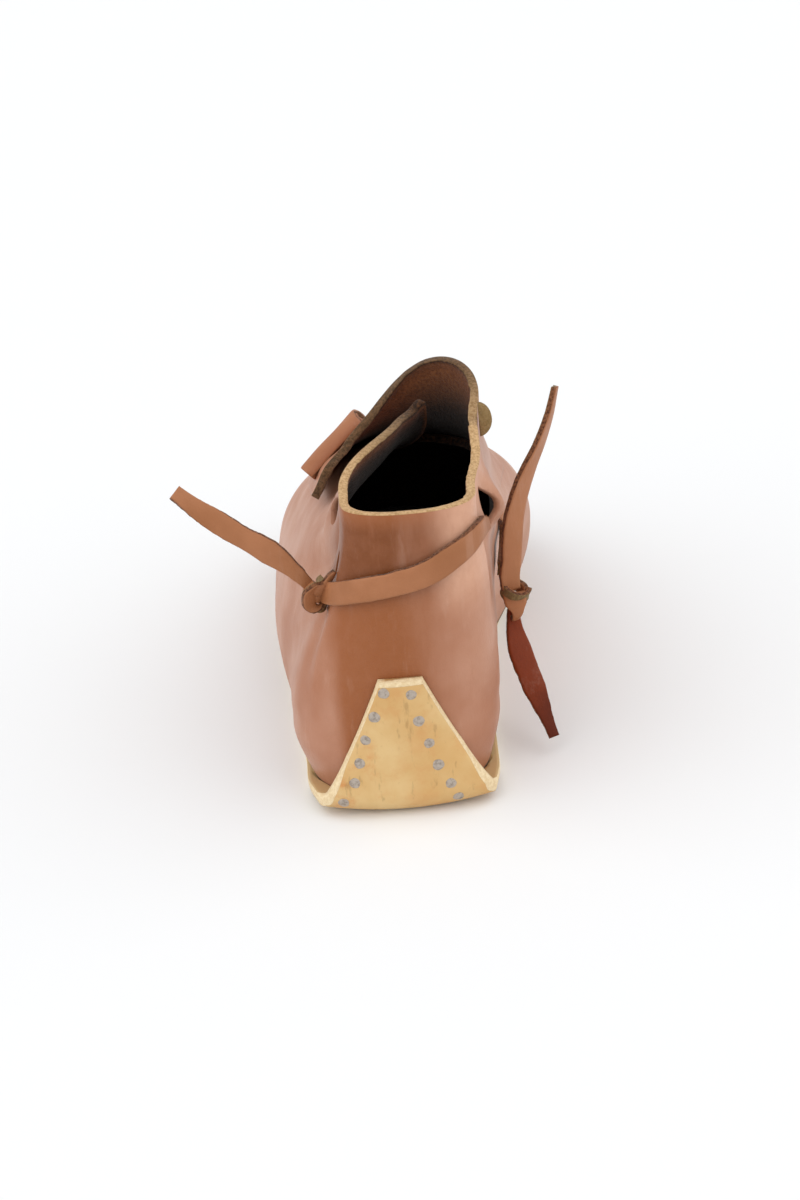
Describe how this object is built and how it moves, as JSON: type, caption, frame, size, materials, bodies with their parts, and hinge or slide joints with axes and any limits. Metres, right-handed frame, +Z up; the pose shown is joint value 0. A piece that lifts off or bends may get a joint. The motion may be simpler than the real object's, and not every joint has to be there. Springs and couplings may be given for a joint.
{
  "type": "viking shoe",
  "caption": "Left ankle shoe: hollow tan leather upper with a wrap-over flap and rolled toggle, a knotted thong behind the heel, and a thick sole folded up and tacked at the heel.",
  "frame": {"origin": "on the ground under the centre of the heel, where the heel rests", "axes": "+Y to the toe, +X to the medial side of this left shoe, +Z up"},
  "size_m": [0.153, 0.2841, 0.1462],
  "materials": {
    "upper_leather": "vegetable-tanned smooth grain, soft sheen, darker at the heel",
    "sole_leather": "thick undyed sole leather, matte, cut edges",
    "insole_felt": "grey matte lining",
    "tack_steel": "small hammered heads",
    "thong_leather": "flat thong, matte flesh edges",
    "toggle_leather": "rolled leather strip",
    "flesh_side": "rough flesh side"
  },
  "bodies": {
    "root": {"upper": "upper_leather", "sole": "sole_leather", "insole": "insole_felt", "tack_01": "tack_steel", "tack_02": "tack_steel", "tack_03": "tack_steel", "tack_04": "tack_steel", "tack_05": "tack_steel", "tack_06": "tack_steel", "tack_07": "tack_steel", "tack_08": "tack_steel", "tack_09": "tack_steel", "tack_10": "tack_steel", "tack_11": "tack_steel", "tack_12": "tack_steel", "tack_13": "tack_steel", "tack_14": "tack_steel", "tack_15": "tack_steel", "tack_16": "tack_steel", "tack_17": "tack_steel", "tack_18": "tack_steel", "tack_19": "tack_steel", "tack_20": "tack_steel", "tack_21": "tack_steel", "tack_22": "tack_steel", "tack_23": "tack_steel", "tack_24": "tack_steel", "tack_25": "tack_steel", "tack_26": "tack_steel", "tack_27": "tack_steel", "tack_28": "tack_steel", "tack_29": "tack_steel", "tack_30": "tack_steel", "tack_31": "tack_steel", "tack_32": "tack_steel", "tack_33": "tack_steel", "tack_34": "tack_steel", "thong_back": "thong_leather", "thong_side": "thong_leather", "knot_left": "thong_leather", "knot_right": "thong_leather", "end_left": "thong_leather", "end_right_up": "thong_leather", "end_right_down": "thong_leather", "toggle": "toggle_leather", "side_tab": "flesh_side"}
  },
  "joints": []
}
